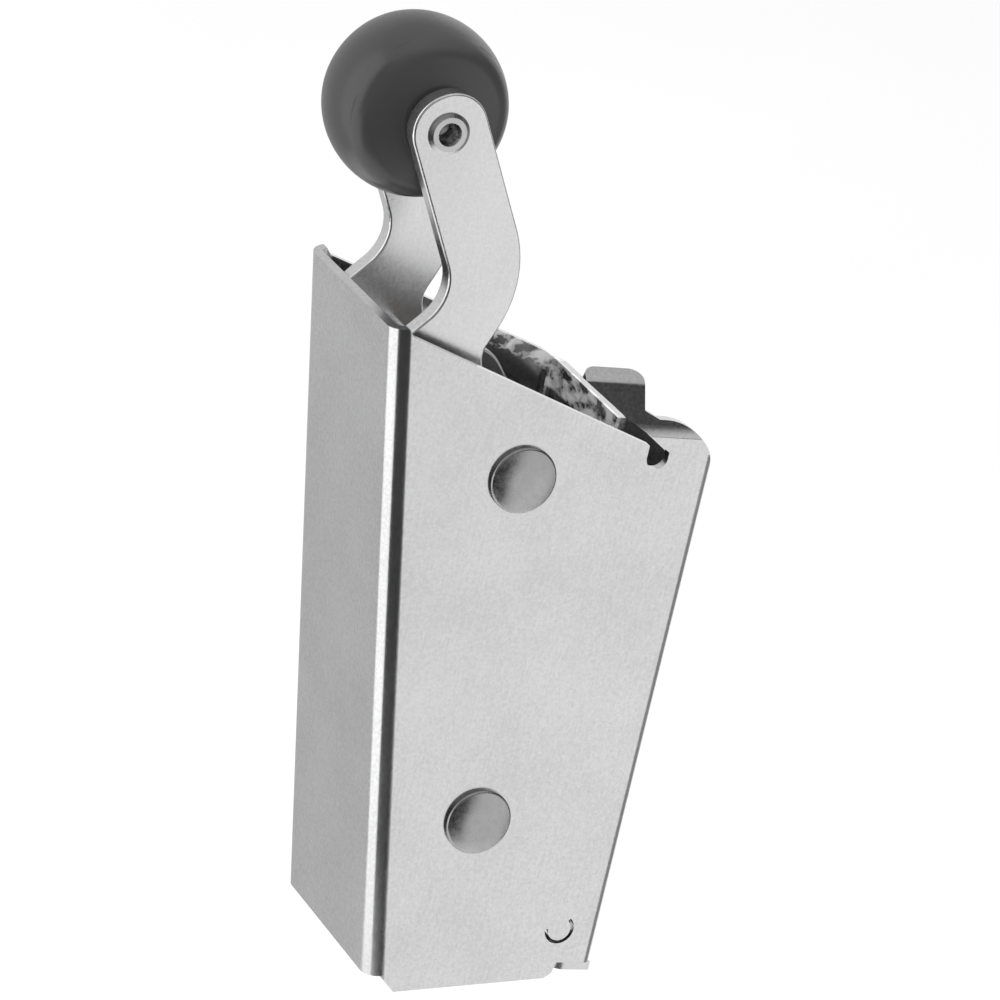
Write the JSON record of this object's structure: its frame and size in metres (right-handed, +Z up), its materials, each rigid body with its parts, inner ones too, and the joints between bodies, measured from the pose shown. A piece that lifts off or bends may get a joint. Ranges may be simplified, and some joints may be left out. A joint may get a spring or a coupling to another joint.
{
  "type": "roller-arm door closer",
  "caption": "Surface-mounted spring-action door closer with a tapered folded steel housing and an over-centre arm that carries a black ball roller.",
  "frame": {"origin": "centre of the mounting plate's back face, in the plane that lies on the door", "axes": "+Y out of the mounting face into the door, +Z up the mounting face towards the roller, +X along the pivot pins towards the side with the hooked tab"},
  "size_m": [0.041, 0.0742, 0.1657],
  "materials": {
    "housing_steel": "satin stainless sheet with a fine grain",
    "plate_steel": "zinc-plated steel sheet",
    "pin_steel": "turned steel, dull",
    "arm_steel": "bright plated steel plate",
    "rivet_steel": "plated steel",
    "roller_nylon": "moulded black nylon, glossy",
    "spacer_nylon": "natural nylon",
    "bush_bronze": "sintered bronze",
    "rod_steel": "oiled steel",
    "spring_wire": "oil-tempered spring wire, black",
    "trunnion_iron": "sintered steel",
    "stop_rubber": "black rubber"
  },
  "bodies": {
    "base": {"housing": "housing_steel", "mounting_plate": "plate_steel", "stop_bumper": "stop_rubber", "pivot_pin": "pin_steel", "anchor_pin": "pin_steel", "pivot_spacers": "spacer_nylon", "anchor_spacers": "spacer_nylon"},
    "arm": {"near_cheek": "arm_steel", "far_cheek": "arm_steel", "pivot_bush": "bush_bronze", "tie_sleeve": "rivet_steel", "tie_rivet": "rivet_steel", "crank_pin": "rivet_steel", "crank_spacers": "rivet_steel", "roller_axle": "rivet_steel", "roller_washers": "rivet_steel"},
    "ball": {"roller": "roller_nylon", "roller_bush": "bush_bronze"},
    "guide": {"guide_rod": "rod_steel", "rod_eye_bush": "bush_bronze", "upper_spring_seat": "rod_steel"},
    "seat": {"trunnion": "trunnion_iron", "trunnion_bush": "bush_bronze", "lower_spring_seat": "spacer_nylon", "spring": "spring_wire"}
  },
  "joints": [
    {"name": "arm_swing", "type": "hinge", "parent": "base", "child": "arm", "pos_m": [0, -0.0346, 0.0443], "axis": [-1, 0, 0], "range_deg": [0, 40], "stiffness_Nm_per_rad": 0.5, "springref_deg": -17.19, "deforming": ["spring"]},
    {"name": "roller_spin", "type": "hinge", "parent": "arm", "child": "ball", "pos_m": [0, -0.0592, 0.10085], "axis": [-1, 0, 0], "continuous": true},
    {"name": "guide_turn", "type": "hinge", "parent": "arm", "child": "guide", "pos_m": [0, -0.0281, 0.031], "axis": [-1, 0, 0], "range_deg": [-53, 1]},
    {"name": "seat_rock", "type": "hinge", "parent": "base", "child": "seat", "pos_m": [0, -0.0281, -0.0176], "axis": [-1, 0, 0], "range_deg": [-13, 1]}
  ],
  "couplings": [
    {"joint": "guide_turn", "follows": "arm_swing", "ratio": -1.3},
    {"joint": "seat_rock", "follows": "arm_swing", "ratio": -0.3}
  ]
}
